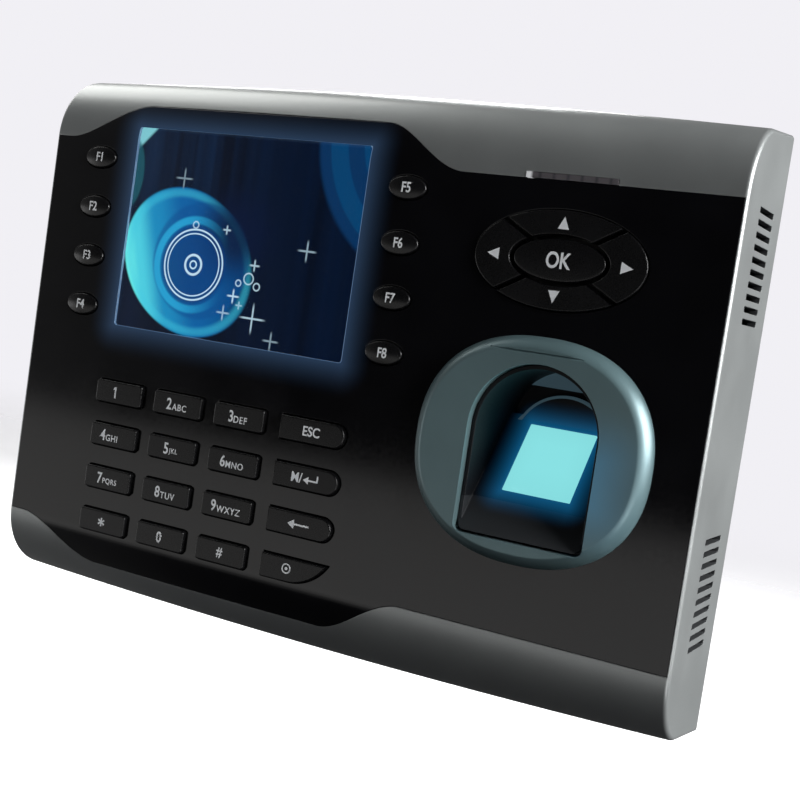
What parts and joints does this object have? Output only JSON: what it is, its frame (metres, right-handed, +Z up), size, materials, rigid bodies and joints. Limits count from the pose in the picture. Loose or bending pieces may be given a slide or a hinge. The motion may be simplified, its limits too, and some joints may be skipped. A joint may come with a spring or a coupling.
{
  "type": "fingerprint scanner terminal",
  "caption": "Wall-mounted fingerprint terminal: silver case, black fascia, colour screen, keypad, arrow pad and round finger reader, hung on a steel wall plate.",
  "frame": {"origin": "centre of the wall plate's four screw holes, on the plate's back face, which lies on the wall", "axes": "+Z up, +Y into the wall, +X to the right when facing the terminal"},
  "size_m": [0.1896, 0.0383, 0.1458],
  "materials": {
    "silver_paint": "satin metallic silver-grey paint on moulded plastic",
    "black_gloss": "high gloss piano black",
    "screen_glass": "polished clear window over a lit display",
    "foam": "matt closed-cell foam",
    "lcd_metal": "thin stamped bezel",
    "white_plastic": "matt moulded plastic",
    "clear_plastic": "frosted clear light pipe",
    "bezel_silver": "satin metallic silver-grey paint",
    "cup_black": "satin black moulded plastic",
    "sensor_glass": "polished glass lit from behind in cyan",
    "module_black": "matt black moulded plastic",
    "silicone": "translucent grey silicone",
    "circuit_board": "green solder mask",
    "plated_metal": "bright plated shell",
    "terminal_green": "matt green moulded plastic",
    "speaker_black": "matt black frame and cone",
    "rear_plastic": "textured dark grey moulded plastic",
    "screw_steel": "zinc plated steel",
    "plate_steel": "powder coated light grey sheet steel",
    "ribbon_film": "amber film",
    "cable_sleeve": "matt sleeve",
    "key_black": "black moulded plastic with printed white legends"
  },
  "bodies": {
    "wall_plate": {"wall_plate": "plate_steel", "lock_screw": "screw_steel"},
    "terminal": {"front_housing": "silver_paint", "front_fascia": "black_gloss", "screen_window": "screen_glass", "screen_gasket": "foam", "lcd_panel": "lcd_metal", "lcd_frame": "white_plastic", "led_light_pipe": "clear_plastic", "reader_bezel": "bezel_silver", "finger_guide": "cup_black", "sensor_window": "sensor_glass", "sensor_body": "module_black", "keypad_membrane": "silicone", "keypad_board": "circuit_board", "main_board": "circuit_board", "ethernet_jack": "plated_metal", "usb_socket": "plated_metal", "power_jack": "module_black", "terminal_block": "terminal_green", "speaker": "speaker_black", "coin_cell": "plated_metal", "battery_holder": "module_black", "rear_cover": "rear_plastic", "rear_cover_screws": "screw_steel", "board_screws": "screw_steel", "tamper_switch": "module_black", "lcd_ribbon": "ribbon_film", "keypad_ribbon": "ribbon_film", "sensor_cable": "cable_sleeve"},
    "tamper_plunger": {"tamper_plunger": "white_plastic"},
    "key_f1": {"key_f1": "key_black"},
    "key_f2": {"key_f2": "key_black"},
    "key_f3": {"key_f3": "key_black"},
    "key_f4": {"key_f4": "key_black"},
    "key_f5": {"key_f5": "key_black"},
    "key_f6": {"key_f6": "key_black"},
    "key_f7": {"key_f7": "key_black"},
    "key_f8": {"key_f8": "key_black"},
    "key_1": {"key_1": "key_black"},
    "key_2": {"key_2": "key_black"},
    "key_3": {"key_3": "key_black"},
    "key_4": {"key_4": "key_black"},
    "key_5": {"key_5": "key_black"},
    "key_6": {"key_6": "key_black"},
    "key_7": {"key_7": "key_black"},
    "key_8": {"key_8": "key_black"},
    "key_9": {"key_9": "key_black"},
    "key_star": {"key_star": "key_black"},
    "key_0": {"key_0": "key_black"},
    "key_hash": {"key_hash": "key_black"},
    "key_esc": {"key_esc": "key_black"},
    "key_menu_enter": {"key_menu_enter": "key_black"},
    "key_back": {"key_back": "key_black"},
    "key_power": {"key_power": "key_black"},
    "key_up": {"key_up": "key_black"},
    "key_left": {"key_left": "key_black"},
    "key_down": {"key_down": "key_black"},
    "key_right": {"key_right": "key_black"},
    "key_ok": {"key_ok": "key_black"}
  },
  "joints": [
    {"name": "terminal_lift", "type": "slide", "parent": "wall_plate", "child": "terminal", "axis": [0, 0, 1], "range_m": [0, 0.008]},
    {"name": "tamper_push", "type": "slide", "parent": "terminal", "child": "tamper_plunger", "axis": [0, 1, 0], "range_m": [-0.0015, 0], "stiffness_N_per_m": 150},
    {"name": "key_f1_press", "type": "slide", "parent": "terminal", "child": "key_f1", "axis": [0, 1, 0], "range_m": [0, 0.001], "stiffness_N_per_m": 300},
    {"name": "key_f2_press", "type": "slide", "parent": "terminal", "child": "key_f2", "axis": [0, 1, 0], "range_m": [0, 0.001], "stiffness_N_per_m": 300},
    {"name": "key_f3_press", "type": "slide", "parent": "terminal", "child": "key_f3", "axis": [0, 1, 0], "range_m": [0, 0.001], "stiffness_N_per_m": 300},
    {"name": "key_f4_press", "type": "slide", "parent": "terminal", "child": "key_f4", "axis": [0, 1, 0], "range_m": [0, 0.001], "stiffness_N_per_m": 300},
    {"name": "key_f5_press", "type": "slide", "parent": "terminal", "child": "key_f5", "axis": [0, 1, 0], "range_m": [0, 0.001], "stiffness_N_per_m": 300},
    {"name": "key_f6_press", "type": "slide", "parent": "terminal", "child": "key_f6", "axis": [0, 1, 0], "range_m": [0, 0.001], "stiffness_N_per_m": 300},
    {"name": "key_f7_press", "type": "slide", "parent": "terminal", "child": "key_f7", "axis": [0, 1, 0], "range_m": [0, 0.001], "stiffness_N_per_m": 300},
    {"name": "key_f8_press", "type": "slide", "parent": "terminal", "child": "key_f8", "axis": [0, 1, 0], "range_m": [0, 0.001], "stiffness_N_per_m": 300},
    {"name": "key_1_press", "type": "slide", "parent": "terminal", "child": "key_1", "axis": [0, 1, 0], "range_m": [0, 0.001], "stiffness_N_per_m": 300},
    {"name": "key_2_press", "type": "slide", "parent": "terminal", "child": "key_2", "axis": [0, 1, 0], "range_m": [0, 0.001], "stiffness_N_per_m": 300},
    {"name": "key_3_press", "type": "slide", "parent": "terminal", "child": "key_3", "axis": [0, 1, 0], "range_m": [0, 0.001], "stiffness_N_per_m": 300},
    {"name": "key_4_press", "type": "slide", "parent": "terminal", "child": "key_4", "axis": [0, 1, 0], "range_m": [0, 0.001], "stiffness_N_per_m": 300},
    {"name": "key_5_press", "type": "slide", "parent": "terminal", "child": "key_5", "axis": [0, 1, 0], "range_m": [0, 0.001], "stiffness_N_per_m": 300},
    {"name": "key_6_press", "type": "slide", "parent": "terminal", "child": "key_6", "axis": [0, 1, 0], "range_m": [0, 0.001], "stiffness_N_per_m": 300},
    {"name": "key_7_press", "type": "slide", "parent": "terminal", "child": "key_7", "axis": [0, 1, 0], "range_m": [0, 0.001], "stiffness_N_per_m": 300},
    {"name": "key_8_press", "type": "slide", "parent": "terminal", "child": "key_8", "axis": [0, 1, 0], "range_m": [0, 0.001], "stiffness_N_per_m": 300},
    {"name": "key_9_press", "type": "slide", "parent": "terminal", "child": "key_9", "axis": [0, 1, 0], "range_m": [0, 0.001], "stiffness_N_per_m": 300},
    {"name": "key_star_press", "type": "slide", "parent": "terminal", "child": "key_star", "axis": [0, 1, 0], "range_m": [0, 0.001], "stiffness_N_per_m": 300},
    {"name": "key_0_press", "type": "slide", "parent": "terminal", "child": "key_0", "axis": [0, 1, 0], "range_m": [0, 0.001], "stiffness_N_per_m": 300},
    {"name": "key_hash_press", "type": "slide", "parent": "terminal", "child": "key_hash", "axis": [0, 1, 0], "range_m": [0, 0.001], "stiffness_N_per_m": 300},
    {"name": "key_esc_press", "type": "slide", "parent": "terminal", "child": "key_esc", "axis": [0, 1, 0], "range_m": [0, 0.001], "stiffness_N_per_m": 300},
    {"name": "key_menu_enter_press", "type": "slide", "parent": "terminal", "child": "key_menu_enter", "axis": [0, 1, 0], "range_m": [0, 0.001], "stiffness_N_per_m": 300},
    {"name": "key_back_press", "type": "slide", "parent": "terminal", "child": "key_back", "axis": [0, 1, 0], "range_m": [0, 0.001], "stiffness_N_per_m": 300},
    {"name": "key_power_press", "type": "slide", "parent": "terminal", "child": "key_power", "axis": [0, 1, 0], "range_m": [0, 0.001], "stiffness_N_per_m": 300},
    {"name": "key_up_press", "type": "slide", "parent": "terminal", "child": "key_up", "axis": [0, 1, 0], "range_m": [0, 0.001], "stiffness_N_per_m": 300},
    {"name": "key_left_press", "type": "slide", "parent": "terminal", "child": "key_left", "axis": [0, 1, 0], "range_m": [0, 0.001], "stiffness_N_per_m": 300},
    {"name": "key_down_press", "type": "slide", "parent": "terminal", "child": "key_down", "axis": [0, 1, 0], "range_m": [0, 0.001], "stiffness_N_per_m": 300},
    {"name": "key_right_press", "type": "slide", "parent": "terminal", "child": "key_right", "axis": [0, 1, 0], "range_m": [0, 0.001], "stiffness_N_per_m": 300},
    {"name": "key_ok_press", "type": "slide", "parent": "terminal", "child": "key_ok", "axis": [0, 1, 0], "range_m": [0, 0.001], "stiffness_N_per_m": 300}
  ]
}
